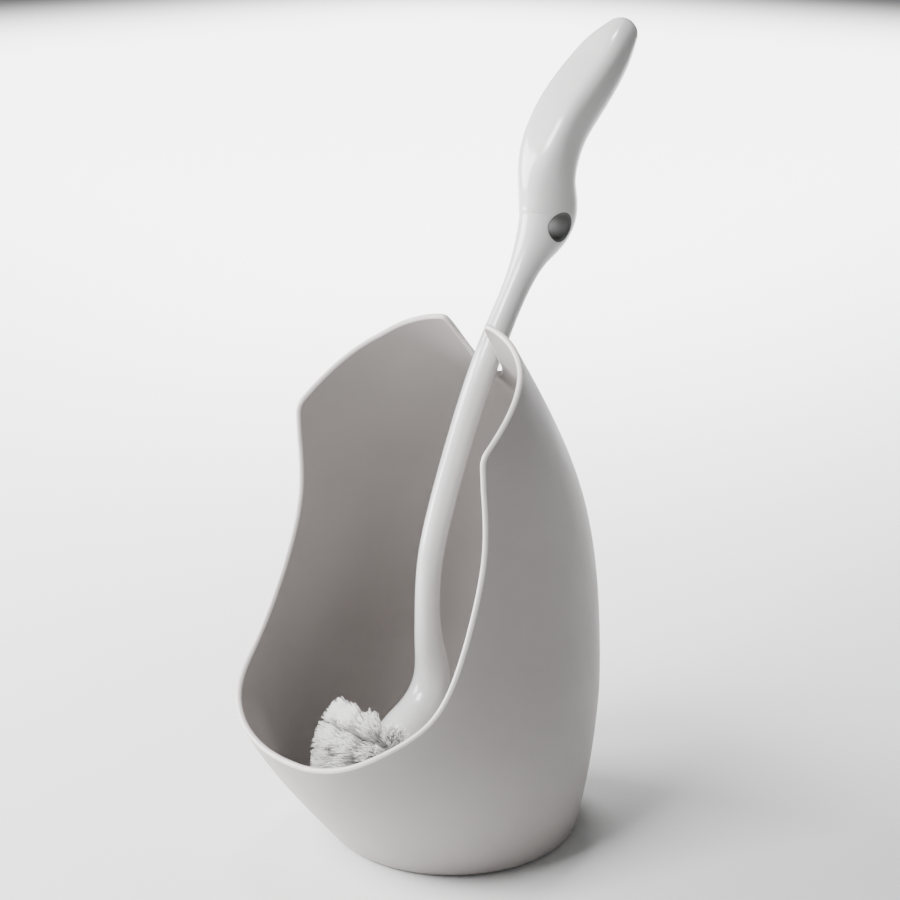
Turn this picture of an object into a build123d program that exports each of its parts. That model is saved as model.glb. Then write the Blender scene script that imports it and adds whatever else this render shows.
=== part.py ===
from build123d import *

import os
from math import cos, hypot, pi, radians, sin

# A toilet brush in its holder. Millimetres, +Z up. The origin is the centre of the round foot, on the
# floor. The low front lip faces -Y, the notched back is at +Y, and YZ is the plane of symmetry.

os.makedirs("parts", exist_ok=True)

# ---- holder: one thin moulded shell ----
WALL = 2.8
FLOOR_TOP = 4.0
FOOT_ROUNDING = 4.0
INNER_CORNER = 6.0
RECESS_RADIUS = 50.0
RECESS_DEPTH = 1.2

# Level sections of the outer face: height, reach to the back, reach to the front, half width.
# The front reach above the lip only shapes the flanks: the mouth removes the rest.
SECTIONS = [
    (0.0, 60.0, 60.0, 60.0),
    (30.0, 65.0, 84.0, 67.0),
    (70.0, 70.0, 110.5, 70.0),
    (115.0, 73.5, 126.0, 65.0),
    (165.0, 62.5, 128.0, 61.5),
    (215.0, 33.5, 131.0, 60.5),
    (262.0, -0.5, 140.0, 58.0),
]
CIRCLE_HANDLE = 0.5523
FULL_HANDLE = 0.64
FULL_FROM = 70.0

# The mouth in side view, as (y, z): a scoop from the lip back to the waist, then a shoulder and a
# straight slope up to the two peaks beside the notch.
SCOOP = [
    (-118.4, 54.8), (-111.4, 64.4), (-95.2, 81.6), (-76.2, 94.7), (-60.2, 116.4),
    (-50.3, 138.5), (-43.4, 164.1), (-43.9, 192.0),
]
SHOULDER = (-44.5, 206.8)
SHOULDER_ROUNDING = 9.0
SLOPE_TOP = (-3.4, 237.6)
SLOPE_ROUNDING = 22.0
PEAK = (11.0, 254.0)
CUT_TOP = 290.0
CUT_FRONT = -175.0

# The notch that the stem lies in, cut square through the back wall.
NOTCH_RADIUS = 8.0
NOTCH_CENTRE_Z = 229.0
NOTCH_FLARE_Z = 256.0
NOTCH_FLARE_HALF = 12.8

# ---- brush: one moulding, with a ball at its lower end ----
# Stations up the moulding: y, z, half width across X, half depth in the side plane.
STATIONS = [
    (-35.5, 53.0, 12.6, 12.6),
    (-25.4, 61.0, 11.1, 11.1),
    (-16.8, 71.5, 9.7, 9.7),
    (-15.0, 83.5, 8.2, 8.2),
    (-16.7, 96.0, 6.9, 6.9),
    (-17.8, 110.0, 6.0, 6.0),
    (-16.0, 137.0, 5.9, 5.9),
    (-8.7, 161.6, 6.0, 6.0),
    (0.9, 185.3, 6.1, 6.1),
    (13.8, 213.0, 6.3, 6.3),
    (27.7, 237.7, 6.4, 6.4),
    (43.0, 261.2, 6.6, 6.6),
    (51.0, 272.6, 8.7, 8.8),
    (58.8, 282.5, 11.3, 13.4),
    (62.6, 291.0, 12.2, 15.5),
    (61.8, 302.5, 12.7, 14.5),
    (62.8, 315.2, 13.4, 14.1),
    (69.0, 328.9, 14.3, 13.7),
    (80.6, 341.7, 15.2, 13.2),
    (93.7, 353.5, 14.6, 12.2),
    (104.4, 362.8, 12.2, 10.6),
    (115.1, 371.2, 7.6, 7.6),
]
TIP_RADIUS = 8.3
TIP_BACK = 3.4
HANG_HOLE_Y = 59.5
HANG_HOLE_Z = 285.5
HANG_HOLE_RADIUS = 6.0
HANG_HOLE_CUT = 25.0

# ---- brush head: tufts set in drilled holes all over the ball ----
HEAD_Y = -40.0
HEAD_Z = 45.0
CORE_RADIUS = 15.5
HEAD_PITCH = 52.0
TUFT_REACH = 39.6
TUFT_TIP_RADIUS = 5.8
HOLE_RADIUS = 1.8
HOLE_DEPTH = 4.5
RING_ANGLES = (21.0, 42.0, 62.0, 81.0, 102.0)
RING_SHIFTS = (0.0, 0.0, 0.0, 0.0, 0.5)
TUFT_STEP = 22.5
ANCHOR_LENGTH = 3.2
ANCHOR_HEIGHT = 1.8
ANCHOR_THICKNESS = 0.4


def fullness(height):
    """Handle length of a section's Bezier arcs: a true ellipse at the foot, fuller above."""
    share = min(height / FULL_FROM, 1.0)
    return CIRCLE_HANDLE + share * (FULL_HANDLE - CIRCLE_HANDLE)


def climb(index, column):
    """Change of one section measure for each millimetre of height, at section number index."""
    low = SECTIONS[max(index - 1, 0)]
    high = SECTIONS[min(index + 1, len(SECTIONS) - 1)]
    return (high[column] - low[column]) / (high[0] - low[0])


def reach(index, column, wall):
    """One measure of a section, drawn in so that the wall is that thick square to its face."""
    return SECTIONS[index][column] - wall * hypot(1.0, climb(index, column))


def body_of_sections(wall):
    """The lofted body whose face lies wall inside the outer face."""
    with BuildPart() as body:
        for index, section in enumerate(SECTIONS):
            back = reach(index, 1, wall)
            front = -reach(index, 2, wall)
            half = reach(index, 3, wall)
            middle = (back + front) / 2
            depth = (back - front) / 2
            pull = fullness(section[0])
            corners = [(half, middle), (0, back), (-half, middle), (0, front)]
            with BuildSketch(Plane.XY.offset(section[0])):
                with BuildLine():
                    for turn in range(4):
                        start = corners[turn]
                        end = corners[(turn + 1) % 4]
                        side = half if start[0] > 0 or end[0] > 0 else -half
                        rise = depth if start[1] > middle or end[1] > middle else -depth
                        along_x = (pull * side, middle + rise)
                        along_y = (side, middle + pull * rise)
                        handles = [along_y, along_x] if turn % 2 == 0 else [along_x, along_y]
                        Bezier(start, *handles, end)
                make_face()
        loft()
    return body.part


# ---- holder shell ----
with BuildPart() as cavity:
    add(body_of_sections(WALL))
    split(bisect_by=Plane.XY.offset(FLOOR_TOP), keep=Keep.TOP)
    fillet(cavity.edges().group_by(Axis.Z)[0], INNER_CORNER)

with BuildPart() as holder_shell:
    add(body_of_sections(0.0))
    fillet(holder_shell.edges().group_by(Axis.Z)[0], FOOT_ROUNDING)
    add(cavity.part, mode=Mode.SUBTRACT)
    with BuildSketch(Plane.YZ) as mouth:
        with BuildLine():
            Spline(*SCOOP)
            Polyline(SCOOP[-1], SHOULDER, SLOPE_TOP, PEAK, (PEAK[0], CUT_TOP), (CUT_FRONT, CUT_TOP),
                     (CUT_FRONT, SCOOP[0][1]), SCOOP[0])
        make_face()
        shoulder = mouth.vertices().sort_by_distance(SHOULDER)[0]
        fillet(shoulder, SHOULDER_ROUNDING)
        bend = mouth.vertices().sort_by_distance(SLOPE_TOP)[0]
        fillet(bend, SLOPE_ROUNDING)
    extrude(amount=2 * SECTIONS[0][1], both=True, mode=Mode.SUBTRACT)
    with BuildSketch(Plane.XZ):
        with Locations((0, NOTCH_CENTRE_Z)):
            Circle(NOTCH_RADIUS)
        with BuildLine():
            Polyline((-NOTCH_RADIUS, NOTCH_CENTRE_Z), (NOTCH_RADIUS, NOTCH_CENTRE_Z),
                     (NOTCH_FLARE_HALF, NOTCH_FLARE_Z), (-NOTCH_FLARE_HALF, NOTCH_FLARE_Z), close=True)
        make_face()
    extrude(amount=-SECTIONS[0][1], mode=Mode.SUBTRACT)
    with BuildSketch(Plane.XY):
        Circle(RECESS_RADIUS)
    extrude(amount=RECESS_DEPTH, mode=Mode.SUBTRACT)
holder_shell.part.label = "holder_shell"
export_step(holder_shell.part, "parts/holder_shell.step")

# ---- directions of the tufts: an end tuft, then rings round the ball ----
head_centre = Vector(0, HEAD_Y, HEAD_Z)
pitch = radians(HEAD_PITCH)
head_axis = Vector(0, -cos(pitch), -sin(pitch))
head_up = Vector(0, -sin(pitch), cos(pitch))
head_side = Vector(1, 0, 0)
rings = [[head_axis]]
for angle, shift in zip(RING_ANGLES, RING_SHIFTS):
    polar = radians(angle)
    count = round(2 * pi * sin(polar) / radians(TUFT_STEP))
    directions = []
    for place in range(count):
        around = 2 * pi * (place + shift) / count
        spoke = head_up * cos(around) + head_side * sin(around)
        directions.append(head_axis * cos(polar) + spoke * sin(polar))
    rings.append(directions)

# ---- brush moulding ----
spine = Spline(*[(0, y, z) for y, z, half_width, half_depth in STATIONS])
with BuildPart() as brush_handle:
    for y, z, half_width, half_depth in STATIONS:
        along = spine.tangent_at(spine.param_at_point((0, y, z)))
        with BuildSketch(Plane(origin=(0, y, z), x_dir=(1, 0, 0), z_dir=along)):
            Ellipse(half_width, half_depth)
    loft()
    with Locations(spine @ 1 - (spine % 1) * TIP_BACK):
        Sphere(TIP_RADIUS)
    with Locations(head_centre):
        Sphere(CORE_RADIUS)
    with BuildSketch(Plane.YZ):
        with Locations((HANG_HOLE_Y, HANG_HOLE_Z)):
            Circle(HANG_HOLE_RADIUS)
    extrude(amount=HANG_HOLE_CUT, both=True, mode=Mode.SUBTRACT)
    for directions in rings:
        for direction in directions:
            mouth_plane = Plane(origin=head_centre + direction * CORE_RADIUS, z_dir=direction)
            with BuildSketch(mouth_plane.offset(-HOLE_DEPTH)):
                Circle(HOLE_RADIUS)
            extrude(amount=2 * HOLE_DEPTH, mode=Mode.SUBTRACT)
brush_handle.part.label = "brush_handle"
export_step(brush_handle.part, "parts/brush_handle.step")

# ---- tufts and their wire anchors, one node of each for the end and for each ring ----
for ring, directions in enumerate(rings):
    with BuildPart() as anchors:
        for direction in directions:
            root = head_centre + direction * (CORE_RADIUS - HOLE_DEPTH)
            with BuildSketch(Plane(origin=root, z_dir=direction)):
                Rectangle(ANCHOR_LENGTH, ANCHOR_THICKNESS)
            extrude(amount=ANCHOR_HEIGHT)
    with BuildPart() as tufts:
        for direction in directions:
            root = head_centre + direction * (CORE_RADIUS - HOLE_DEPTH)
            with BuildSketch(Plane(origin=root, z_dir=direction)):
                Circle(HOLE_RADIUS)
            extrude(amount=HOLE_DEPTH)
            with BuildSketch(Plane(origin=root + direction * HOLE_DEPTH, z_dir=direction)):
                Circle(HOLE_RADIUS)
            with BuildSketch(Plane(origin=head_centre + direction * TUFT_REACH, z_dir=direction)):
                Circle(TUFT_TIP_RADIUS)
            loft()
        add(anchors.part, mode=Mode.SUBTRACT)
    place = "end" if ring == 0 else f"ring_{ring}"
    anchors.part.label = f"anchors_{place}"
    export_step(anchors.part, f"parts/anchors_{place}.step")
    tufts.part.label = f"tufts_{place}"
    export_step(tufts.part, f"parts/tufts_{place}.step")
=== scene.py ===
import math

import bmesh
import bpy
import numpy as np
from bpy.props import FloatProperty, FloatVectorProperty, IntProperty, PointerProperty
from bpy.types import Operator, Panel, PropertyGroup
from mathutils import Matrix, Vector
from mathutils.geometry import delaunay_2d_cdt
from mathutils.kdtree import KDTree


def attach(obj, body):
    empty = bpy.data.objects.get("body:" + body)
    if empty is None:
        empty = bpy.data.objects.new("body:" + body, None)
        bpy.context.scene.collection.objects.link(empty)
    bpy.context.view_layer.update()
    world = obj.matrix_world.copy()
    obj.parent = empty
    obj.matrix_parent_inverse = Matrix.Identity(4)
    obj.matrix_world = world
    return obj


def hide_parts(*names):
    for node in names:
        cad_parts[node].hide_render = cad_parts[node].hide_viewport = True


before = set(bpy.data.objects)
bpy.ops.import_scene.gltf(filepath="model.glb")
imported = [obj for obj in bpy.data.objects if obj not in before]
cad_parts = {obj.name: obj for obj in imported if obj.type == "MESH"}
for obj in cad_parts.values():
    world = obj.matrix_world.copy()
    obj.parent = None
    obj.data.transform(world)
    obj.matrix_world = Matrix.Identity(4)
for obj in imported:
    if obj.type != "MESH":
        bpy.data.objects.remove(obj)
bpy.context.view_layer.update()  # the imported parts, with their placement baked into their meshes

bl_info = {
    "name": "Toilet brush and holder",
    "version": (1, 0, 0),
    "blender": (4, 5, 0),
    "location": "View3D > Sidebar > Brush holder",
    "description": "Moulded toilet brush holder with its tufted brush, round a packed frame",
    "category": "Add Mesh",
}

MM = 0.001

# ---------------------------------------------------------------- driving sizes, in metres
# Level sections of the holder's outer face: height, reach to the back, to the front, half width.
SECTIONS = MM * np.array([
    (0.0, 60.0, 60.0, 60.0),
    (30.0, 65.0, 84.0, 67.0),
    (70.0, 70.0, 110.5, 70.0),
    (115.0, 73.5, 126.0, 65.0),
    (165.0, 62.5, 128.0, 61.5),
    (215.0, 33.5, 131.0, 60.5),
    (262.0, -0.5, 140.0, 58.0),
])
CIRCLE_HANDLE = 0.5523
FULL_HANDLE = 0.64
FULL_FROM = 70.0 * MM
FLOOR_TOP = 4.0 * MM
RECESS_RADIUS = 50.0 * MM
RECESS_DEPTH = 1.2 * MM

# The mouth in side view, as (y, z), with the rounding of each corner after the scoop.
SCOOP = MM * np.array([
    (-118.4, 54.8), (-111.4, 64.4), (-95.2, 81.6), (-76.2, 94.7),
    (-60.2, 116.4), (-50.3, 138.5), (-43.4, 164.1), (-43.9, 192.0),
])
MOUTH_TOP = MM * np.array([(-43.9, 192), (-44.5, 206.8), (-3.4, 237.6), (11, 254)])
MOUTH_ROUNDING = (9.0 * MM, 22.0 * MM)

# The notch in the back, seen from the front: a round seat and sides that flare to the peaks.
NOTCH_RADIUS = 8.0 * MM
NOTCH_CENTRE_Z = 229.0 * MM
NOTCH_FLARE_Z = 256.0 * MM
NOTCH_FLARE_HALF = 12.8 * MM

# Stations up the brush moulding: y, z, half width across X, half depth in the side plane.
STATIONS = MM * np.array([
    (-35.5, 53.0, 12.6, 12.6),
    (-25.4, 61.0, 11.1, 11.1),
    (-16.8, 71.5, 9.7, 9.7),
    (-15.0, 83.5, 8.2, 8.2),
    (-16.7, 96.0, 6.9, 6.9),
    (-17.8, 110.0, 6.0, 6.0),
    (-16.0, 137.0, 5.9, 5.9),
    (-8.7, 161.6, 6.0, 6.0),
    (0.9, 185.3, 6.1, 6.1),
    (13.8, 213.0, 6.3, 6.3),
    (27.7, 237.7, 6.4, 6.4),
    (43.0, 261.2, 6.6, 6.6),
    (51.0, 272.6, 8.7, 8.8),
    (58.8, 282.5, 11.3, 13.4),
    (62.6, 291.0, 12.2, 15.5),
    (61.8, 302.5, 12.7, 14.5),
    (62.8, 315.2, 13.4, 14.1),
    (69.0, 328.9, 14.3, 13.7),
    (80.6, 341.7, 15.2, 13.2),
    (93.7, 353.5, 14.6, 12.2),
    (104.4, 362.8, 12.2, 10.6),
    (115.1, 371.2, 7.6, 7.6),
])
TIP_RADIUS = 8.2 * MM
TIP_BACK = 3.4 * MM
HANG_HOLE = MM * np.array([59.5, 285.5])
HANG_HOLE_RADIUS = 6.0 * MM
HANG_LIP = 1.1 * MM

# The ball that the tufts are set in, and where each ring of them points.
HEAD = MM * np.array([-40.0, 45.0])
HEAD_PITCH = math.radians(52.0)
BALL_RADIUS = 15.5 * MM
TUFT_REACH = 39.6 * MM
HOLE_RADIUS = 1.8 * MM
RING_ANGLES = (0.0, 21.0, 42.0, 62.0, 81.0, 102.0)
RING_SHIFTS = (0.0, 0.0, 0.0, 0.0, 0.0, 0.5)
TUFT_STEP = 22.5
SEAT_DEPTH = 1.2 * MM
STRAY = 0.16  # share of the tip radius by which a filament strays from its place in the tuft
TUFT_NODES = ["tufts_end", "tufts_ring_1", "tufts_ring_2", "tufts_ring_3", "tufts_ring_4", "tufts_ring_5"]

# The stage: floor, lights and camera.
FLOOR_HALF = 6.0
LIGHT_AWAY = 1.3
BACK_LIGHT_AWAY = 2.9
BACK_LIGHT_UP = 2.4
SENSOR_WIDTH = 36.0
VIEW_RANGE = (0.01, 50.0)

# How finely the faces are drawn.
WELD = 2e-6
FACE_STEP = 2.0 * MM
RIM_STEP = 1.4 * MM
BAND_STEP = 1.15 * MM
BAND_REACH = 11 * MM
BAND_GIRTH = 12.5 * MM
ROLL_ROWS = 13
SEGMENTS = 72


# ---------------------------------------------------------------- curves and patches
def smooth_curve(knots, values):
    """A cubic spline through values, one row for each knot, that runs straight out at its ends."""
    gap = np.diff(knots)
    slope = np.diff(values, axis=0) / gap[:, None]
    system = np.eye(len(knots))
    right = np.zeros_like(values)
    for row in range(1, len(gap)):
        system[row, row - 1:row + 2] = gap[row - 1], 2 * (gap[row - 1] + gap[row]), gap[row]
        right[row] = 6 * (slope[row] - slope[row - 1])
    bend = np.linalg.solve(system, right)

    def at(places):
        places = np.atleast_1d(places)
        cell = np.clip(np.searchsorted(knots, places) - 1, 0, len(gap) - 1)
        past = (places - knots[cell])[:, None]
        width = gap[cell][:, None]
        rise = slope[cell] - width * (2 * bend[cell] + bend[cell + 1]) / 6
        return values[cell] + past * (rise + past * (bend[cell] / 2
                                                     + past * (bend[cell + 1] - bend[cell]) / (6 * width)))

    return at


def lengths(points):
    """Distance along a line of points, from its first one."""
    return np.concatenate([[0.0], np.cumsum(np.linalg.norm(np.diff(points, axis=0), axis=1))])


def evenly(values, points, step):
    """Rows of values picked so that the line of points they go with is cut into even steps."""
    run = lengths(points)
    stops = np.linspace(0, run[-1], max(round(run[-1] / step), 2) + 1)
    return np.stack([np.interp(stops, run, column) for column in values.T], axis=1)


def rounded_corners(points, radii):
    """A line of points whose inner corners are rounded to those radii."""
    line = [points[0]]
    for corner, before, after, radius in zip(points[1:-1], points, points[2:], radii):
        into = (before - corner) / np.linalg.norm(before - corner)
        out = (after - corner) / np.linalg.norm(after - corner)
        turned = math.pi - math.acos(np.dot(into, out))
        setback = radius * math.tan(turned / 2)
        for t in np.linspace(0, 1, 13):
            line.append(corner + setback * ((1 - t) ** 2 * into + t ** 2 * out))
    line.append(points[-1])
    return np.array(line)


def inside(points, outline):
    """True for each point inside a closed outline."""
    x, y = points[:, 0:1], points[:, 1:2]
    ax, ay = outline.T
    bx, by = np.roll(outline, -1, axis=0).T
    crosses = (ay > y) != (by > y)
    rise = np.where(by == ay, 1.0, by - ay)
    return np.sum(crosses & (x < ax + (bx - ax) * (y - ay) / rise), axis=1) % 2 == 1


def fill(outline, holes, step):
    """(points, triangles) over an outline with holes. The border's own points come first."""
    border = np.concatenate([outline, *holes])
    low, high = border.min(axis=0), border.max(axis=0)
    rows = []
    for number, height in enumerate(np.arange(low[1], high[1], step * math.sqrt(0.75))):
        across = np.arange(low[0] + (number % 2) * step / 2, high[0], step)
        rows.append(np.stack([across, np.full_like(across, height)], axis=1))
    grid = np.concatenate(rows)
    keep = inside(grid, outline)
    for hole in holes:
        keep &= ~inside(grid, hole)
    tree = KDTree(len(border))
    for number, point in enumerate(border):
        tree.insert((*point, 0), number)
    tree.balance()
    keep[keep] = [tree.find((*point, 0))[2] > 0.62 * step for point in grid[keep]]
    points = np.concatenate([border, grid[keep]])
    edges, start = [], 0
    for loop in (outline, *holes):
        edges += [(start + n, start + (n + 1) % len(loop)) for n in range(len(loop))]
        start += len(loop)
    made = delaunay_2d_cdt([Vector(p) for p in points], edges, [], 1, 1e-9)
    source = [names[0] for names in made[3]]
    triangles = np.array([[source[corner] for corner in face] for face in made[2]])
    centres = points[triangles].mean(axis=1)
    solid = inside(centres, outline)
    for hole in holes:
        solid &= ~inside(centres, hole)
    return points, triangles[solid]


def unit(vectors):
    """Each vector at length 1."""
    return vectors / np.maximum(np.linalg.norm(vectors, axis=-1, keepdims=True), 1e-12)


class Skin:
    """Patches of one closed surface, with the true normals of their points, to be welded into a mesh."""

    def __init__(self):
        self.points, self.normals, self.faces, self.marks = [], [], [], []

    def patch(self, points, faces, normals, flip=False, mark=0.0):
        start = sum(len(part) for part in self.points)
        self.points.append(np.asarray(points))
        self.normals.append(normals)
        self.faces += [[start + corner for corner in (face[::-1] if flip else face)] for face in faces]
        self.marks += [mark] * len(faces)

    def rows(self, rows, normals=None, flip=False, mark=0.0):
        """Quads between rows of points of one length. Normals that are not given come from the points."""
        grid = np.array(rows)
        if normals is None:
            along, across = np.gradient(grid, axis=1), np.gradient(grid, axis=0)
            normals = unit(np.cross(along, across)) * (-1 if flip else 1)
        count = grid.shape[1]
        faces = []
        for low in range(len(grid) * count - count):
            if low % count < count - 1:
                faces.append((low, low + 1, low + 1 + count, low + count))
        self.patch(grid.reshape(-1, 3), faces, np.reshape(normals, (-1, 3)), flip, mark)

    def fan(self, row, pole, normal):
        """Triangles from a row of points to one pole that has that normal."""
        turns = np.dot(np.cross(row[1] - row[0], pole - row[0]), normal) < 0
        faces = [(place, place + 1, len(row)) for place in range(len(row) - 1)]
        self.patch(np.concatenate([row, [pole]]), faces, np.concatenate([0 * row, [normal]]), turns)

    def mesh(self, name):
        """The welded mesh, smooth shaded by the true normals."""
        points, normals = np.concatenate(self.points), np.concatenate(self.normals)
        tree = KDTree(len(points))
        for number, point in enumerate(points):
            tree.insert(point, number)
        tree.balance()
        owner = np.full(len(points), -1)
        for number, point in enumerate(points):
            if owner[number] < 0:
                for _, twin, _ in tree.find_range(point, WELD):
                    owner[twin] = number
        kept, place = np.unique(owner, return_inverse=True)
        total = np.zeros((len(kept), 3))
        np.add.at(total, place, normals)
        faces, marks = [], []
        for face, mark in zip(self.faces, self.marks):
            corners = [place[corner] for corner in face]
            corners = [corner for number, corner in enumerate(corners) if corner != corners[number - 1]]
            if len(corners) > 2:
                faces.append(corners)
                marks.append(mark)
        made = bpy.data.meshes.new(name)
        made.from_pydata(points[kept].tolist(), [], faces)
        # The marks are stored as the rim attribute: a painted highlight on the holder's roll and painted
        # shade inside the brush's hanging hole.
        made.attributes.new("rim", "FLOAT", "FACE").data.foreach_set("value", marks)
        made.shade_smooth()
        made.normals_split_custom_set_from_vertices(unit(total).tolist())
        solid = bmesh.new()
        solid.from_mesh(made)
        loose = [edge for edge in solid.edges if not edge.is_contiguous]
        volume = solid.calc_volume(signed=True)
        solid.free()
        if loose or volume <= 0:
            raise RuntimeError(f"{name} is not a closed solid: {len(loose)} bad edges, volume {volume}")
        return made


def add_piece(name, mesh, material):
    """An object for a finished mesh, at the origin, with one material."""
    made = bpy.data.objects.new(name, mesh)
    bpy.context.scene.collection.objects.link(made)
    mesh.materials.clear()
    mesh.materials.append(material)
    return made


# ---------------------------------------------------------------- shader maths
class Field:
    """One socket of a shader tree. Arithmetic on it adds the Math nodes that the expression needs."""

    def __init__(self, paint, socket):
        self.paint, self.socket = paint, socket

    def maths(self, operation, *others):
        return self.paint.node("Math", {"operation": operation}, dict(enumerate((self, *others))))

    def __add__(self, other):
        return self.maths("ADD", other)

    def __sub__(self, other):
        return self.maths("SUBTRACT", other)

    def __rsub__(self, other):
        return self.paint.node("Math", {"operation": "SUBTRACT"}, {0: other, 1: self})

    def __mul__(self, other):
        return self.maths("MULTIPLY", other)

    __radd__, __rmul__ = __add__, __mul__

    def smooth(self, low, high):
        """0 below low, 1 above high, and a smooth step between."""
        settings = {"interpolation_type": "SMOOTHSTEP"}
        return self.paint.node("MapRange", settings, {"Value": self, "From Min": low, "From Max": high})


class Paint:
    """A material with a Principled shader, whose maps are written as expressions."""

    def __init__(self, name, **constants):
        self.material = bpy.data.materials.new(name)
        self.material.use_nodes = True
        self.tree = self.material.node_tree
        self.shader = self.tree.nodes["Principled BSDF"]
        for socket, value in constants.items():
            self.shader.inputs[socket.replace("_", " ").title().replace("Ior", "IOR")].default_value = value

    def node(self, kind, settings=None, inputs=None, output=0):
        """Adds a node of that type, with its settings first and then the values or links of its sockets."""
        made = self.tree.nodes.new("ShaderNode" + kind)
        for name, value in (settings or {}).items():
            setattr(made, name, value)
        for name, value in (inputs or {}).items():
            if isinstance(value, Field):
                self.tree.links.new(value.socket, made.inputs[name])
            else:
                made.inputs[name].default_value = value
        return Field(self, made.outputs[output])

    def place(self):
        """Object coordinates."""
        return self.node("TexCoord", output="Object")

    def noise(self, place, scale, detail=3.0, roughness=0.5):
        """Soft noise from 0 to 1, with scale in waves for each metre."""
        return self.node("TexNoise", {"noise_dimensions": "3D"},
                         {"Vector": place, "Scale": scale, "Detail": detail, "Roughness": roughness})

    def stretched(self, place, scale):
        """Coordinates multiplied by a different scale along each axis."""
        return self.node("VectorMath", {"operation": "MULTIPLY"}, {0: place, 1: scale})

    def blend(self, share, first, second):
        """A colour between two, by share."""
        inputs = {"Factor": share, "A": first, "B": second}
        made = self.node("Mix", {"data_type": "RGBA"}, {}, output="Result")
        node = made.socket.node
        for name, value in inputs.items():
            socket = next(s for s in node.inputs if s.name == name and s.enabled)
            if isinstance(value, Field):
                self.tree.links.new(value.socket, socket)
            else:
                socket.default_value = value
        return Field(self, next(s for s in node.outputs if s.enabled))

    def bump(self, height, strength, distance):
        """A normal bent by a height map."""
        return self.node("Bump", {}, {"Height": height, "Strength": strength, "Distance": distance})

    def feed(self, **maps):
        """Links maps to the shader's sockets and returns the material."""
        for socket, value in maps.items():
            self.tree.links.new(value.socket, self.shader.inputs[socket.replace("_", " ").title()])
        return self.material


def shade(colour, factor):
    """A colour made lighter or darker, with alpha."""
    return (*[channel * factor for channel in colour], 1.0)


def satin_plastic(settings):
    """Light warm grey moulded plastic with a fine satin grain."""
    paint = Paint("satin holder plastic", ior=1.49)
    place = paint.place()
    cloud = paint.noise(place, 22.0, 4.0)
    grain = paint.noise(place, 2600.0, 2.0)
    handling = paint.noise(paint.stretched(place, (60.0, 60.0, 24.0)), 1.0, 5.0, 0.62)
    rim = paint.node("Attribute", {"attribute_name": "rim"}, output="Fac")
    colour = paint.blend(cloud.smooth(0.3, 0.7), shade(settings.colour, 0.975), shade(settings.colour, 1.02))
    # The rolled rim is painted lighter, a painted highlight along the lip; the lower roughness below is the
    # lip's polish.
    colour = paint.blend(rim, colour, shade(settings.colour, settings.rim_highlight))
    roughness = settings.roughness + 0.07 * (handling.smooth(0.35, 0.72) - 0.5) + 0.05 * (grain - 0.5)
    roughness = roughness - 0.14 * rim
    return paint.feed(base_color=colour, roughness=roughness, normal=paint.bump(grain, 0.18, 0.00012))


def gloss_plastic(settings):
    """Pale polished plastic, with the faint waves of a thick moulding."""
    paint = Paint("gloss brush plastic", ior=1.49, coat_roughness=0.08)
    place = paint.place()
    cloud = paint.noise(place, 30.0, 3.0)
    waves = paint.noise(place, 75.0, 2.0)
    rubs = paint.noise(paint.stretched(place, (900.0, 260.0, 130.0)), 1.0, 4.0, 0.7)
    bore = paint.node("Attribute", {"attribute_name": "rim"}, output="Fac")
    colour = paint.blend(cloud.smooth(0.3, 0.7), shade(settings.colour, 0.975), shade(settings.colour, 1.02))
    # The bore of the hanging hole is painted almost black: painted shade inside the hole, with rougher,
    # uncoated faces there.
    colour = paint.blend(bore, colour, shade(settings.colour, 0.16))
    roughness = settings.roughness + 0.06 * (rubs.smooth(0.45, 0.8)) + 0.04 * (cloud - 0.5) + 0.5 * bore
    return paint.feed(base_color=colour, roughness=roughness, coat_weight=(0.25 + 0.1 * cloud) * (1 - bore),
                      normal=paint.bump(waves, 0.12, 0.0006))


def filament(settings):
    """White nylon filament, a little greyer at the root, each one its own tone."""
    paint = Paint("white filament", ior=1.53, subsurface_weight=0.0, transmission_weight=0.0)
    along = paint.node("Attribute", {"attribute_name": "along"}, output="Fac")
    tone = paint.node("Attribute", {"attribute_name": "tone"}, output="Fac")
    aged = paint.blend(tone, shade(settings.colour, 0.93), shade(settings.colour, 1.0))
    colour = paint.blend(along.smooth(0.0, 0.55), shade(settings.colour, 0.94), aged)
    return paint.feed(base_color=colour, roughness=0.34 + 0.16 * tone)


def anchor_steel():
    """Drawn flat wire with fine lines along it."""
    paint = Paint("anchor wire", metallic=1.0)
    place = paint.place()
    lines = paint.noise(paint.stretched(place, (3000.0, 3000.0, 400.0)), 1.0, 2.0)
    colour = paint.blend(lines, (0.52, 0.52, 0.54, 1.0), (0.70, 0.70, 0.72, 1.0))
    return paint.feed(base_color=colour, roughness=0.25 + 0.2 * lines, normal=paint.bump(lines, 0.2, 0.00005))


# ---------------------------------------------------------------- the holder
section_at = smooth_curve(SECTIONS[:, 0], SECTIONS[:, 1:])
TURN_WIDTH = 0.21  # about half the way round the holder, so that a patch is drawn in even steps


def shell_face(turn, height):
    """Points of the outer face. turn is 0 at the back, 1 at the front on the right and -1 on the left."""
    back, front, half = section_at(height).T
    middle, reach = (back - front) / 2, (back + front) / 2
    pull = CIRCLE_HANDLE + np.clip(height / FULL_FROM, 0, 1) * (FULL_HANDLE - CIRCLE_HANDLE)
    quarters = 2 * np.abs(turn)
    first = quarters <= 1
    t = np.where(first, quarters, quarters - 1)
    out = 3 * t * (1 - t) ** 2 * pull + 3 * t ** 2 * (1 - t) + t ** 3
    home = (1 - t) ** 3 + 3 * t * (1 - t) ** 2 + 3 * t ** 2 * (1 - t) * pull
    x = half * np.where(first, out, home) * np.where(turn < 0, -1, 1)
    y = middle + reach * np.where(first, home, -out)
    return np.stack([x, y, height + 0 * x], axis=1)


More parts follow.
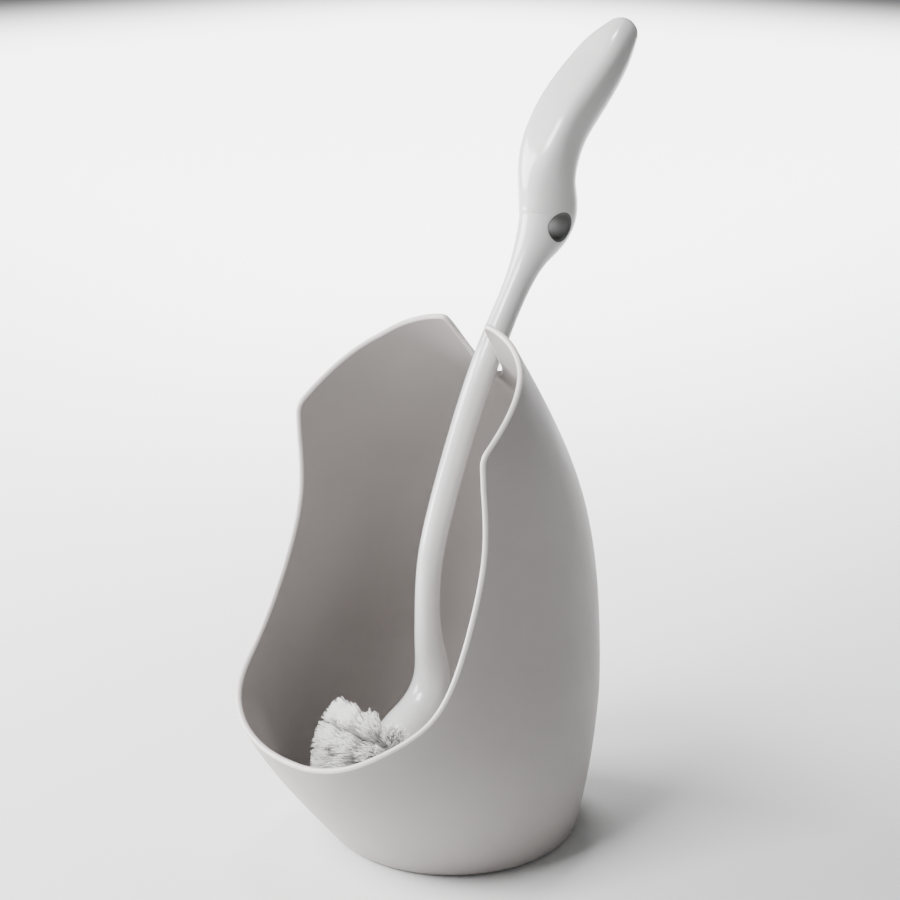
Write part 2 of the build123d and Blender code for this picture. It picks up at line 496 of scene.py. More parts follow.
def shell_slopes(turn, height):
    """How the outer face moves with turn and with height."""
    small, low = 1e-4, 1e-5
    by_turn = (shell_face(turn + small, height) - shell_face(turn - small, height)) / (2 * small)
    by_height = (shell_face(turn, height + low) - shell_face(turn, height - low)) / (2 * low)
    return by_turn, by_height


def shell_normal(turn, height):
    """Outward normals of the outer face."""
    by_turn, by_height = shell_slopes(turn, height)
    return unit(np.cross(by_height, by_turn))


def turn_at(height, measure, column, front_too):
    """The turn at which a section reaches a measure: column 0 for x and 1 for y."""
    turns = np.linspace(0, 1 if front_too else 0.5, 801)
    found = []
    for level, wanted in zip(height, measure):
        reached = shell_face(turns, np.full_like(turns, level))[:, column]
        order = np.argsort(reached)
        found.append(np.interp(wanted, reached[order], turns[order]))
    return np.array(found)


def notch_half(height):
    """Half width of the notch at a height."""
    flare = (NOTCH_FLARE_HALF - NOTCH_RADIUS) / (NOTCH_FLARE_Z - NOTCH_CENTRE_Z)
    drop = np.clip(NOTCH_CENTRE_Z - height, 0, NOTCH_RADIUS)
    return np.where(height > NOTCH_CENTRE_Z, NOTCH_RADIUS + flare * (height - NOTCH_CENTRE_Z),
                    np.sqrt(NOTCH_RADIUS ** 2 - drop ** 2))


def rim_line(step):
    """(turn, height) from the middle of the lip, up the right of the mouth, to the notch's seat."""
    scoop = smooth_curve(lengths(SCOOP), SCOOP)(np.linspace(0, lengths(SCOOP)[-1], 240))
    side = np.concatenate([scoop[:-1], rounded_corners(MOUTH_TOP, MOUTH_ROUNDING)])
    side = evenly(side, side, 0.4 * MM)
    front = section_at(side[:, 1])[:, 1]
    side = side[side[:, 0] > -front]
    turn = turn_at(side[:, 1], side[:, 0], 1, True)
    x = shell_face(turn, side[:, 1])[:, 0]
    outside_notch = x > notch_half(side[:, 1])
    mouth = np.stack([turn, side[:, 1]], axis=1)[outside_notch]
    mouth[0, 0] = 1.0
    peak = mouth[-1, 1]
    sweep = np.linspace(0, math.pi / 2, 40)
    heights = np.concatenate([np.linspace(peak, NOTCH_CENTRE_Z, 60)[1:-1],
                              NOTCH_CENTRE_Z - NOTCH_RADIUS * np.sin(sweep)])
    notch = np.stack([turn_at(heights, notch_half(heights), 0, False), heights], axis=1)
    line = np.concatenate([mouth, notch])
    line = evenly(line, shell_face(*line.T), 0.4 * MM)
    corner = np.argmax(line[:, 1])
    for _ in range(80):  # rounds the peak off
        near = slice(corner - 20, corner + 21)
        softer = (line[:-2] + 2 * line[1:-1] + line[2:]) / 4
        line[near] = softer[corner - 21:corner + 20]
    line = evenly(line, shell_face(*line.T), step)
    line[0, 0], line[-1, 0] = 1.0, 0.0
    return line


def drawn_in(line, distance):
    """The rim line moved that far into the wall, in the plane of the wall."""
    whole = np.concatenate([line * (-1, 1), line[-2::-1]])
    points = shell_face(*whole.T)
    forward = np.gradient(points, axis=0)
    forward[0, 1:], forward[-1, 1:] = 0, 0
    normal = shell_normal(*whole.T)
    inward = unit(np.cross(normal, forward))
    by_turn, by_height = shell_slopes(*whole.T)
    moved = np.empty_like(whole)
    for place in range(len(whole)):
        slopes = np.stack([by_turn[place], by_height[place]], axis=1)
        step = np.linalg.lstsq(slopes, distance * inward[place], rcond=None)[0]
        moved[place] = whole[place] + step
    moved[0, 0], moved[-1, 0] = -1.0, 1.0
    return moved, -inward


def bend_between(start, corner, end, steps):
    """Rows of points on a round corner from start to end."""
    return [(1 - t) ** 2 * start + 2 * t * (1 - t) * corner + t ** 2 * end for t in np.linspace(0, 1, steps)]


def holder_mesh(settings):
    """The thin shell: both faces, a rolled rim, the round foot with its recess and the inside floor."""
    wall = settings.wall
    step = FACE_STEP
    base = 12.0 * MM
    line = rim_line(RIM_STEP)
    rim, outward = drawn_in(line, wall / 2)
    columns = 2 * round(TURN_WIDTH / step)
    bottom = np.stack([np.linspace(-1, 1, columns + 1), np.full(columns + 1, base)], axis=1)
    lip = rim[-1, 1]
    seam = np.linspace(base, lip, round((lip - base) / step) + 1)[1:-1]
    right = np.stack([np.ones_like(seam), seam], axis=1)
    outline = np.concatenate([bottom, right, rim[::-1], (right * (-1, 1))[::-1]])
    flat = outline * (TURN_WIDTH, 1)
    points, triangles = fill(flat, [], step)
    turn, height = points[:, 0] / TURN_WIDTH, points[:, 1]
    outer = shell_face(turn, height)
    normal = shell_normal(turn, height)
    skin = Skin()
    skin.patch(outer, triangles.tolist(), normal, flip=True)
    skin.patch(outer - wall * normal, triangles.tolist(), -normal)

    rim_points = shell_face(*rim.T)
    rim_normal = shell_normal(*rim.T)
    middle = rim_points - wall / 2 * rim_normal
    roll = np.array([math.cos(a) * rim_normal + math.sin(a) * outward
                     for a in np.linspace(0, math.pi, ROLL_ROWS)])
    # The roll is marked so that its material paints a highlight along the rim.
    skin.rows(middle + wall / 2 * roll, roll, flip=True, mark=1.0)

    turns = bottom[:, 0]
    level = np.zeros_like(turns)
    foot_edge = shell_face(turns, level)
    heading = unit(shell_face(turns, level + 4 * MM) - foot_edge)
    homeward = unit(-foot_edge * (1, 1, 0))
    rounding = settings.foot_rounding
    wall_rows = [shell_face(turns, level + z) for z in np.linspace(base, 5 * MM, 6)]
    foot = bend_between(foot_edge + rounding * heading, foot_edge, foot_edge + rounding * homeward, 9)
    ring = [homeward * -r for r in np.linspace(54.0, 50.6, 3) * MM]
    recess_edge = homeward * -RECESS_RADIUS
    up = np.array([0, 0, RECESS_DEPTH])
    tight = 0.5 * MM
    step_out = bend_between(recess_edge * (1 + tight / RECESS_RADIUS), recess_edge,
                            recess_edge + tight * up / RECESS_DEPTH, 5)
    step_in = bend_between(recess_edge + up - tight * up / RECESS_DEPTH, recess_edge + up,
                           recess_edge * (1 - tight / RECESS_RADIUS) + up, 5)
    plate = [-homeward * r + up for r in np.linspace(46.0, 4.0, 12) * MM]
    skin.rows([*wall_rows, *foot, *ring, *step_out, *step_in, *plate])
    skin.fan(plate[-1], up, np.array([0, 0, -1.0]))

    inner_start = shell_face(turns, level + base) - wall * shell_normal(turns, level + base)
    below = shell_face(turns, level + base - 2 * MM) - wall * shell_normal(turns, level + base - 2 * MM)
    downhill = unit(below - inner_start)
    drop = (inner_start[:, 2] - FLOOR_TOP) / -downhill[:, 2]
    corner = inner_start + drop[:, None] * downhill
    landing = corner + drop[:, None] * homeward
    floor_up = np.array([0, 0, FLOOR_TOP])
    floor = [landing * (1 - s) * (1, 1, 0) + floor_up for s in np.linspace(0, 0.94, 16)]
    skin.rows([*bend_between(inner_start, corner, landing, 12), *floor[1:]], flip=True)
    skin.fan(floor[-1], floor_up, np.array([0, 0, 1.0]))
    return skin.mesh("holder")


# ---------------------------------------------------------------- the brush moulding
head_axis = np.array([-math.cos(HEAD_PITCH), -math.sin(HEAD_PITCH)])


class Moulding:
    """The brush moulding as rings round a spine in the side plane, from the ball's pole to the grip's tip."""

    def __init__(self):
        spine = np.concatenate([[HEAD + BALL_RADIUS * head_axis], [HEAD], STATIONS[:, :2]])
        ahead = (spine[-1] - spine[-2]) / np.linalg.norm(spine[-1] - spine[-2])
        end = spine[-1] + (TIP_RADIUS - TIP_BACK - 0.2 * MM) * ahead
        spine = np.concatenate([spine, [end]])
        self.knots = lengths(spine)
        self.path = smooth_curve(self.knots, spine)
        self.sizes = smooth_curve(self.knots[2:-1], STATIONS[:, 2:])

    def centre(self, s):
        return self.path(s)

    def heading(self, s):
        return unit(self.path(s + 1e-5) - self.path(s - 1e-5))

    def half_sizes(self, s):
        """Half width and half depth at each place along the spine."""
        s = np.atleast_1d(s)
        sizes = self.sizes(s)
        ball = np.sqrt(np.clip(BALL_RADIUS ** 2 - (s - self.knots[1]) ** 2, 0, None))
        cap = np.sqrt(np.clip(TIP_RADIUS ** 2 - (s - self.knots[-2] + TIP_BACK) ** 2, 0, None))
        sizes = np.where((s < self.knots[2])[:, None], ball[:, None], sizes)
        return np.where((s > self.knots[-2])[:, None], cap[:, None], sizes)

    def flatness(self, s):
        """How flat the front is, from 0 on the stem to 1 in the middle of the grip."""
        rise = np.clip((s - self.knots[17]) / (self.knots[19] - self.knots[17]), 0, 1)
        fall = np.clip((self.knots[-1] - s) / (self.knots[-1] - self.knots[-4]), 0, 1)
        return rise ** 2 * (3 - 2 * rise) * fall ** 2 * (3 - 2 * fall)

    def at(self, s, angle):
        """Points of the face at places along the spine and angles round it, 0 on the right and a quarter turn
        at the back."""
        centre, heading = self.centre(s), self.heading(s)
        half = self.half_sizes(s)
        flat = self.flatness(s)
        front = np.sin(angle) < 0
        power = np.where(front, 2 + 1.6 * flat, 2)
        swell = (np.abs(np.cos(angle)) ** power + np.abs(np.sin(angle)) ** power) ** (-1 / power)
        across = half[:, 0] * (1 - 0.07 * flat) * swell * np.cos(angle)
        back = half[:, 1] * np.where(front, 1 - 0.20 * flat, 1 + 0.09 * flat) * swell * np.sin(angle)
        y, z = centre[:, 0] + back * heading[:, 1], centre[:, 1] - back * heading[:, 0]
        return np.stack([across, y, z], axis=1)

    def normal(self, s, angle):
        """Outward normals of the face."""
        along = self.at(s + 1e-5, angle) - self.at(s - 1e-5, angle)
        round_it = self.at(s, angle + 1e-4) - self.at(s, angle - 1e-4)
        return unit(np.cross(round_it, along))

    def place_of(self, point):
        """(s, angle) of the face's point on the right with that y and z."""
        s = self.knots[14]
        for _ in range(12):
            centre, heading = self.centre(s)[0], self.heading(s)[0]
            s += np.dot(point - centre, heading)
        centre, heading = self.centre(s)[0], self.heading(s)[0]
        back = np.dot(point - centre, (heading[1], -heading[0]))
        return s, math.asin(back / self.half_sizes(s)[0, 1])


def brush_mesh():
    """The whole moulding with its hanging hole."""
    moulding = Moulding()
    angles = np.linspace(-math.pi / 2, 3 * math.pi / 2, SEGMENTS + 1)
    hole_s = moulding.place_of(HANG_HOLE)[0]
    low, high = hole_s - BAND_REACH, hole_s + BAND_REACH
    skin = Skin()

    def ring(s):
        return moulding.at(np.full(SEGMENTS + 1, s), angles)

    def tube(places):
        faces_out = [moulding.normal(np.full(SEGMENTS + 1, s), angles) for s in places]
        skin.rows([ring(s) for s in places], faces_out)

    ball = [moulding.knots[1] - BALL_RADIUS * math.sin(a) for a in np.linspace(1.5, 0, 22)]
    stem = np.linspace(moulding.knots[1], low, round((low - moulding.knots[1]) / RIM_STEP))[1:]
    tube([*ball, *stem])
    pole = moulding.at(np.array([0.0]), np.array([0.0]))[0]
    skin.fan(ring(ball[0]), pole, np.array([0, *head_axis]))
    tip = moulding.knots[-1]
    cap_start = math.asin(TIP_BACK / TIP_RADIUS)
    cap = [tip - TIP_RADIUS * (1 - math.sin(a)) for a in np.linspace(cap_start, 1.52, 14)]
    grip = np.linspace(high, moulding.knots[-2], round((moulding.knots[-2] - high) / RIM_STEP))[:-1]
    tube([*grip, *cap])
    pole = moulding.at(np.array([tip]), np.array([0.0]))[0]
    skin.fan(ring(cap[-1]), pole, np.array([0, *moulding.heading(tip)[0]]))

    mouth_radius = HANG_HOLE_RADIUS + HANG_LIP
    around = np.linspace(0, 2 * math.pi, 57)[:-1]
    loop = np.array([moulding.place_of(HANG_HOLE + mouth_radius * np.array([math.cos(a), math.sin(a)]))
                     for a in around])
    right = np.stack([loop[:, 1] * BAND_GIRTH, loop[:, 0]], axis=1)
    left = np.stack([(math.pi - loop[:, 1]) * BAND_GIRTH, loop[:, 0]], axis=1)
    sides = np.linspace(low, high, 17)[1:-1]
    outline = np.concatenate([
        np.stack([angles * BAND_GIRTH, np.full_like(angles, low)], axis=1),
        np.stack([np.full_like(sides, angles[-1] * BAND_GIRTH), sides], axis=1),
        np.stack([angles[::-1] * BAND_GIRTH, np.full_like(angles, high)], axis=1),
        np.stack([np.full_like(sides, angles[0] * BAND_GIRTH), sides[::-1]], axis=1),
    ])
    points, triangles = fill(outline, [right, left], BAND_STEP)
    places = points[:, 1], points[:, 0] / BAND_GIRTH
    skin.patch(moulding.at(*places), triangles.tolist(), moulding.normal(*places))

    edge_x = moulding.at(loop[:, 0], loop[:, 1])[:, 0]
    edge_x = np.append(edge_x, edge_x[0])
    spokes = np.append(around, 2 * math.pi)
    rows = []
    for a in np.linspace(0, math.pi / 2, 7):
        radius = HANG_HOLE_RADIUS + HANG_LIP * (1 - math.sin(a))
        x = edge_x - HANG_LIP * (1 - math.cos(a))
        y, z = HANG_HOLE[0] + radius * np.cos(spokes), HANG_HOLE[1] + radius * np.sin(spokes)
        rows.append(np.stack([x, y, z], axis=1))
    last = rows[-1]
    through = [last * (share, 1, 1) for share in np.linspace(0.8, -0.8, 9)]
    mirrored = [row * (-1, 1, 1) for row in rows[::-1]]
    # The bore's faces are marked so that the material paints shade inside the hole.
    skin.rows([*rows, *through, *mirrored], mark=1.0)
    return skin.mesh("brush")


# ---------------------------------------------------------------- the bristles
def tuft_directions(ring):
    """Unit vectors of the tufts in a ring round the head; ring 0 is the end tuft."""
    axis = np.array([0, *head_axis])
    up = np.array([0, -math.sin(HEAD_PITCH), math.cos(HEAD_PITCH)])
    side = np.array([1.0, 0, 0])
    polar = math.radians(RING_ANGLES[ring])
    count = max(round(2 * math.pi * math.sin(polar) / math.radians(TUFT_STEP)), 1)
    around = 2 * math.pi * (np.arange(count) + RING_SHIFTS[ring]) / count
    spokes = [math.cos(a) * up + math.sin(a) * side for a in around]
    return [math.cos(polar) * axis + math.sin(polar) * spoke for spoke in spokes]


def tuft_tree(material):
    """Nodes that turn each seat into a tuft, whose filaments splay from a round hole to trimmed tips."""
    tree = bpy.data.node_groups.new("Splayed tuft", "GeometryNodeTree")
    face = tree.interface
    face.new_socket("Geometry", in_out="INPUT", socket_type="NodeSocketGeometry")
    for name, kind, value in (
        ("Filaments", "Int", 120), ("Seat Radius", "Float", 0.0016), ("Tip Radius", "Float", 0.005),
        ("Length", "Float", 0.025), ("Thickness", "Float", 0.00034), ("Trim", "Float", 0.05),
        ("Wander", "Float", 0.0006), ("Seed", "Int", 0),
    ):
        face.new_socket(name, in_out="INPUT", socket_type="NodeSocket" + kind).default_value = value
    face.new_socket("Geometry", in_out="OUTPUT", socket_type="NodeSocketGeometry")
    inlet = tree.nodes.new("NodeGroupInput")
    outlet = tree.nodes.new("NodeGroupOutput")

    def node(kind, settings=None, inputs=None, output=0):
        made = tree.nodes.new(kind)
        for name, value in (settings or {}).items():
            setattr(made, name, value)
        for name, value in (inputs or {}).items():
            if isinstance(value, bpy.types.NodeSocket):
                tree.links.new(value, made.inputs[name])
            else:
                made.inputs[name].default_value = value
        return made.outputs[output]

    def maths(operation, *values):
        return node("ShaderNodeMath", {"operation": operation}, dict(enumerate(values)))

    def vector(operation, *values, output=0):
        return node("ShaderNodeVectorMath", {"operation": operation}, dict(enumerate(values)), output)

    def scaled(direction, amount):
        return node("ShaderNodeVectorMath", {"operation": "SCALE"}, {0: direction, "Scale": amount})

    def store(geometry, name, value, kind="FLOAT"):
        return node("GeometryNodeStoreNamedAttribute", {"data_type": kind, "domain": "POINT"},
                    {"Geometry": geometry, "Name": name, "Value": value})

    def stored(name, kind="FLOAT"):
        return node("GeometryNodeInputNamedAttribute", {"data_type": kind}, {"Name": name})

    def chance(low, high, salt):
        seed = maths("ADD", inlet.outputs["Seed"], salt)
        made = tree.nodes.new("FunctionNodeRandomValue")
        made.data_type = "FLOAT"
        sockets = {s.name: s for s in made.inputs if s.enabled}
        sockets["Min"].default_value, sockets["Max"].default_value = low, high
        tree.links.new(seed, sockets["Seed"])
        return next(s for s in made.outputs if s.enabled)

    def disc(salt):
        """A random place in a disc of radius 1."""
        radius = maths("SQRT", chance(0.0, 1.0, salt))
        angle = chance(0.0, 2 * math.pi, salt + 1)
        return node("ShaderNodeCombineXYZ", {}, {
            0: maths("MULTIPLY", radius, maths("COSINE", angle)),
            1: maths("MULTIPLY", radius, maths("SINE", angle))})

    seats = node("GeometryNodeDuplicateElements", {"domain": "POINT"},
                 {"Geometry": inlet.outputs["Geometry"], "Amount": inlet.outputs["Filaments"]})
    spot = disc(11)
    seats = store(seats, "spot", spot, "FLOAT_VECTOR")
    seats = store(seats, "stray", disc(23), "FLOAT_VECTOR")
    seats = store(seats, "curl", disc(37), "FLOAT_VECTOR")
    seats = store(seats, "trim", chance(0.0, 1.0, 41))
    seats = store(seats, "tone", chance(0.0, 1.0, 53))
    seats = store(seats, "seat", node("GeometryNodeInputPosition"), "FLOAT_VECTOR")

    rod = node("GeometryNodeMeshCylinder", {"fill_type": "NGON"},
               {"Vertices": 4, "Side Segments": 6, "Fill Segments": 1, "Radius": 0.5, "Depth": 1.0})
    here = node("GeometryNodeInputPosition")
    split = tree.nodes.new("ShaderNodeSeparateXYZ")
    tree.links.new(here, split.inputs[0])
    rod = store(rod, "along", maths("ADD", split.outputs[2], 0.5))
    rod = store(rod, "girth", vector("MULTIPLY", here, (1.0, 1.0, 0.0)), "FLOAT_VECTOR")

    strands = node("GeometryNodeInstanceOnPoints", {}, {"Points": seats, "Instance": rod})
    strands = node("GeometryNodeRealizeInstances", {}, {"Geometry": strands})

    along = stored("along")
    outward = stored("outward", "FLOAT_VECTOR")
    first = vector("NORMALIZE", vector("CROSS_PRODUCT", outward, (0.31, 0.22, 0.92)))
    second = vector("CROSS_PRODUCT", outward, first)
    ease = maths("MULTIPLY", along, maths("ADD", 0.55, maths("MULTIPLY", along, 0.45)))
    seat_place = scaled(stored("spot", "FLOAT_VECTOR"), inlet.outputs["Seat Radius"])
    ordered = maths("MULTIPLY", inlet.outputs["Tip Radius"], 1 - STRAY)
    strayed = maths("MULTIPLY", inlet.outputs["Tip Radius"], STRAY)
    tip_place = vector("ADD", scaled(stored("spot", "FLOAT_VECTOR"), ordered),
                       scaled(stored("stray", "FLOAT_VECTOR"), strayed))
    lean = vector("ADD", scaled(seat_place, maths("SUBTRACT", 1.0, ease)), scaled(tip_place, ease))
    belly = maths("SINE", maths("MULTIPLY", along, math.pi))
    lean = vector("ADD", lean, scaled(scaled(stored("curl", "FLOAT_VECTOR"), inlet.outputs["Wander"]), belly))
    lean = vector("ADD", lean, scaled(stored("girth", "FLOAT_VECTOR"), inlet.outputs["Thickness"]))
    parts = tree.nodes.new("ShaderNodeSeparateXYZ")
    tree.links.new(lean, parts.inputs[0])
    shorter = maths("SUBTRACT", 1.0, maths("MULTIPLY", stored("trim"), inlet.outputs["Trim"]))
    run = maths("MULTIPLY", maths("MULTIPLY", along, shorter), inlet.outputs["Length"])
    place = vector("ADD", stored("seat", "FLOAT_VECTOR"), scaled(outward, run))
    place = vector("ADD", place, scaled(first, parts.outputs[0]))
    place = vector("ADD", place, scaled(second, parts.outputs[1]))
    strands = node("GeometryNodeSetPosition", {}, {"Geometry": strands, "Position": place})
    strands = node("GeometryNodeRealizeInstances", {}, {"Geometry": strands})
    strands = node("GeometryNodeSetMaterial", {}, {"Geometry": strands, "Material": material})
    tree.links.new(strands, outlet.inputs[0])
    return tree


def bristle_mesh(name, ring, tree, settings):
    """The filaments of one ring of tufts as a plain mesh."""
    root = BALL_RADIUS - SEAT_DEPTH
    centre = np.array([0, *HEAD])
    directions = tuft_directions(ring)
    seats = bpy.data.meshes.new(name + " seats")
    seats.from_pydata([(centre + root * d).tolist() for d in directions], [], [])
    outward = seats.attributes.new("outward", "FLOAT_VECTOR", "POINT")
    outward.data.foreach_set("vector", np.concatenate(directions))
    holder = bpy.data.objects.new(name + " seats", seats)
    bpy.context.scene.collection.objects.link(holder)
    modifier = holder.modifiers.new("Tufts", "NODES")
    modifier.node_group = tree
    values = {
        "Filaments": settings.filaments,
        "Seat Radius": HOLE_RADIUS - settings.thickness / 2,
        "Tip Radius": settings.tip_radius,
        "Length": TUFT_REACH - root,
        "Thickness": settings.thickness,
        "Trim": settings.trim,
        "Wander": settings.wander,
        "Seed": settings.seed + 100 * ring,
    }
    for item in tree.interface.items_tree:
        if item.in_out == "INPUT" and item.name in values:
            modifier[item.identifier] = values[item.name]
    graph = bpy.context.evaluated_depsgraph_get()
    made = bpy.data.meshes.new_from_object(holder.evaluated_get(graph), depsgraph=graph)
    made.name = name
    bpy.data.objects.remove(holder)
    for extra in ("spot", "stray", "curl", "trim", "seat", "girth", "outward"):
        if extra in made.attributes:
            made.attributes.remove(made.attributes[extra])
    made.shade_smooth()
    return made


# ---------------------------------------------------------------- settings
class HolderSettings(PropertyGroup):
    """Sizes and finish of the holder."""

    wall: FloatProperty(name="Wall", description="Thickness of the moulded wall", default=2.8 * MM,
                        unit="LENGTH")
    foot_rounding: FloatProperty(name="Foot rounding", description="How far the foot's edge is rounded back",
                                 default=3.4 * MM, unit="LENGTH")
    colour: FloatVectorProperty(name="Colour", description="Colour of the holder's plastic", size=3,
                                subtype="COLOR", default=(0.345, 0.322, 0.314))
    # How much lighter the rim is painted: a painted highlight along the lip.
    rim_highlight: FloatProperty(name="Rim highlight", description="How much lighter the polished rim is", default=1.7)
    roughness: FloatProperty(name="Roughness", description="How matt the holder's plastic is", default=0.42,
                             subtype="FACTOR")


class BrushSettings(PropertyGroup):
    """Finish of the brush moulding."""

    colour: FloatVectorProperty(name="Colour", description="Colour of the brush's plastic", size=3,
                                subtype="COLOR", default=(0.60, 0.595, 0.59))
    roughness: FloatProperty(name="Roughness", description="How matt the brush's plastic is", default=0.20,
                             subtype="FACTOR")


class BristleSettings(PropertyGroup):
    """Filaments of the brush head."""

    filaments: IntProperty(name="Filaments", description="Filament ends in each tuft", default=215)
    thickness: FloatProperty(name="Thickness", description="Thickness of one filament", default=0.33 * MM,
                             unit="LENGTH")
    tip_radius: FloatProperty(name="Tip radius", description="Radius of a tuft at its tips", default=7.4 * MM,
                              unit="LENGTH")
    trim: FloatProperty(name="Trim", description="Unevenness of the trimmed tips, as a share of the length",
                        default=0.12, subtype="FACTOR")
    wander: FloatProperty(name="Wander", description="How far a filament bows sideways", default=0.9 * MM,
                          unit="LENGTH")
    seed: IntProperty(name="Seed", description="Which random layout of filaments is used", default=7)
    colour: FloatVectorProperty(name="Colour", description="Colour of the filaments", size=3, subtype="COLOR",
                                default=(0.94, 0.935, 0.92))


class StageSettings(PropertyGroup):
    """Floor, light and camera."""

    azimuth: FloatProperty(name="Azimuth", description="Where the camera stands, from the front to the right",
                           default=math.radians(44.56), subtype="ANGLE")
    elevation: FloatProperty(name="Elevation", description="How far the camera looks down",
                             default=math.radians(17.27), subtype="ANGLE")
    distance: FloatProperty(name="Distance", description="From the camera to the point it aims at",
                            default=0.9038, unit="LENGTH")
    aim: FloatVectorProperty(name="Aim", description="The point that the camera aims at", size=3,
                             subtype="TRANSLATION", default=(0.0, -0.0028, 0.1885))
    lens: FloatProperty(name="Lens", description="Focal length on a 36 mm sensor, in millimetres",
                        default=78.34)
    key: FloatProperty(name="Key light", description="Power of the large light", default=55.0, unit="POWER")
    top: FloatProperty(name="Top light", description="Power of the light above the mouth", default=30.0,
                       unit="POWER")
    back: FloatProperty(name="Back light", description="Power of the light on the floor behind",
                        default=300.0, unit="POWER")
    sky: FloatProperty(name="Surroundings", description="Strength of the even light from all round",
                       default=0.2)


# ---------------------------------------------------------------- operators
class BATHROOM_OT_holder(Operator):
    """Make the holder's moulded shell"""

    bl_idname = "bathroom.holder"
    bl_label = "Holder"

    def execute(self, context):
        settings = context.scene.holder_settings
        holder = add_piece("holder", holder_mesh(settings), satin_plastic(settings))
        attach(holder, "holder")
        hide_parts("holder_shell")
        return {"FINISHED"}


class BATHROOM_OT_brush(Operator):
    """Make the brush moulding: grip, hanging hole, stem, neck and ball"""

    bl_idname = "bathroom.brush"
    bl_label = "Brush moulding"

    def execute(self, context):
        settings = context.scene.brush_settings
        brush = add_piece("brush", brush_mesh(), gloss_plastic(settings))
        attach(brush, "brush")
        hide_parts("brush_handle")
        return {"FINISHED"}


class BATHROOM_OT_bristles(Operator):
    """Make the filaments of every ring of tufts"""

    bl_idname = "bathroom.bristles"
    bl_label = "Bristles"

    def execute(self, context):
        settings = context.scene.bristle_settings
        material = filament(settings)
        tree = tuft_tree(material)
        for ring, node in enumerate(TUFT_NODES):
            name = node.replace("tufts", "bristles")
            bristles = add_piece(name, bristle_mesh(name, ring, tree, settings), material)
            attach(bristles, "brush")
            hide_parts(node)
        return {"FINISHED"}


class BATHROOM_OT_anchors(Operator):
    """Give the wire anchors under the tufts their steel"""

    bl_idname = "bathroom.anchors"
    bl_label = "Wire anchors"

    def execute(self, context):
        steel = anchor_steel()
        for node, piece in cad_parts.items():
            if node.startswith("anchors"):
                piece.data.materials.clear()
                piece.data.materials.append(steel)
        return {"FINISHED"}


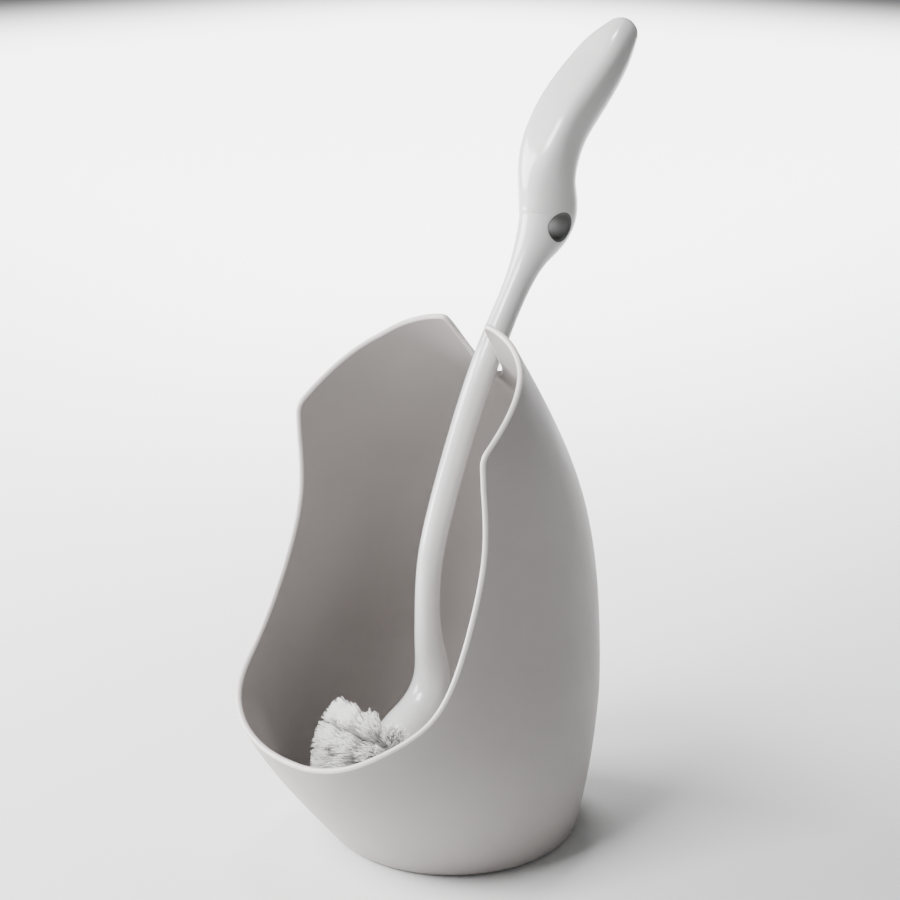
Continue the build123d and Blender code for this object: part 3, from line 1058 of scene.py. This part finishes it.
class BATHROOM_OT_stage(Operator):
    """Set out the floor, the lights and the camera"""

    bl_idname = "bathroom.stage"
    bl_label = "Stage"

    def execute(self, context):
        settings = context.scene.stage_settings
        aim = Vector(settings.aim)
        paint = Paint("pale floor")
        speckle = paint.noise(paint.place(), 300.0, 4.0)
        white = paint.blend(speckle, (0.86, 0.86, 0.86, 1.0), (0.90, 0.90, 0.90, 1.0))
        material = paint.feed(base_color=white, roughness=0.6 + 0.1 * speckle)
        corners = [(FLOOR_HALF * x, FLOOR_HALF * y, 0) for x, y in ((-1, -1), (1, -1), (1, 1), (-1, 1))]
        mesh = bpy.data.meshes.new("floor")
        mesh.from_pydata(corners, [], [(0, 1, 2, 3)])
        floor = add_piece("floor", mesh, material)

        world = bpy.data.worlds.new("studio")
        world.use_nodes = True
        background = world.node_tree.nodes["Background"]
        background.inputs["Color"].default_value = (1.0, 1.0, 1.0, 1.0)
        background.inputs["Strength"].default_value = settings.sky
        context.scene.world = world

        level = math.cos(settings.elevation)
        back = Vector((math.sin(settings.azimuth) * level, -math.cos(settings.azimuth) * level,
                       math.sin(settings.elevation)))
        up = Vector((0.0, 0.0, 1.0))
        ahead = (back * Vector((1, 1, 0))).normalized()
        behind = -BACK_LIGHT_AWAY * ahead
        for name, place, target, size, power, spread in (
            ("key", aim + LIGHT_AWAY * Vector((-0.78, -0.55, 0.24)), aim, 0.8, settings.key, 180),
            ("top", aim + LIGHT_AWAY * Vector((-0.10, -0.65, 0.75)), aim, 0.5, settings.top, 180),
            ("back", behind + BACK_LIGHT_UP * up, behind, 3.6, settings.back, 40),
        ):
            light = bpy.data.lights.new(name, "AREA")
            light.shape, light.size, light.energy = "SQUARE", size, power
            light.spread = math.radians(spread)
            lamp = bpy.data.objects.new(name, light)
            lamp.location = place
            lamp.rotation_mode = "QUATERNION"
            lamp.rotation_quaternion = (place - target).to_track_quat("Z", "Y")
            context.scene.collection.objects.link(lamp)

        view = bpy.data.cameras.new("camera")
        view.lens, view.sensor_width = settings.lens, SENSOR_WIDTH
        view.clip_start, view.clip_end = VIEW_RANGE
        camera = bpy.data.objects.new("camera", view)
        camera.location = aim + settings.distance * back
        camera.rotation_mode = "QUATERNION"
        camera.rotation_quaternion = back.to_track_quat("Z", "Y")
        context.scene.collection.objects.link(camera)
        context.scene.camera = camera
        return {"FINISHED"}


class BATHROOM_PT_brush_holder(Panel):
    """Every step of the model, in order"""

    bl_label = "Toilet brush and holder"
    bl_idname = "BATHROOM_PT_brush_holder"
    bl_space_type = "VIEW_3D"
    bl_region_type = "UI"
    bl_category = "Brush holder"

    def draw(self, context):
        for operator, group in STEPS:
            box = self.layout.box()
            box.operator(operator.bl_idname)
            if group:
                settings = getattr(context.scene, group)
                for name in settings.bl_rna.properties.keys():
                    if name not in ("rna_type", "name"):
                        box.prop(settings, name)


STEPS = (
    (BATHROOM_OT_holder, "holder_settings"),
    (BATHROOM_OT_brush, "brush_settings"),
    (BATHROOM_OT_bristles, "bristle_settings"),
    (BATHROOM_OT_anchors, None),
    (BATHROOM_OT_stage, "stage_settings"),
)
GROUPS = {
    "holder_settings": HolderSettings,
    "brush_settings": BrushSettings,
    "bristle_settings": BristleSettings,
    "stage_settings": StageSettings,
}


def register():
    for group in GROUPS.values():
        bpy.utils.register_class(group)
    for name, group in GROUPS.items():
        setattr(bpy.types.Scene, name, PointerProperty(type=group))
    for operator, _ in STEPS:
        bpy.utils.register_class(operator)
    bpy.utils.register_class(BATHROOM_PT_brush_holder)


def unregister():
    bpy.utils.unregister_class(BATHROOM_PT_brush_holder)
    for operator, _ in reversed(STEPS):
        bpy.utils.unregister_class(operator)
    for name, group in reversed(GROUPS.items()):
        delattr(bpy.types.Scene, name)
        bpy.utils.unregister_class(group)


def main():
    register()
    bpy.ops.bathroom.holder()
    bpy.ops.bathroom.brush()
    bpy.ops.bathroom.bristles()
    bpy.ops.bathroom.anchors()
    bpy.ops.bathroom.stage()


if __name__ == "__main__":
    main()
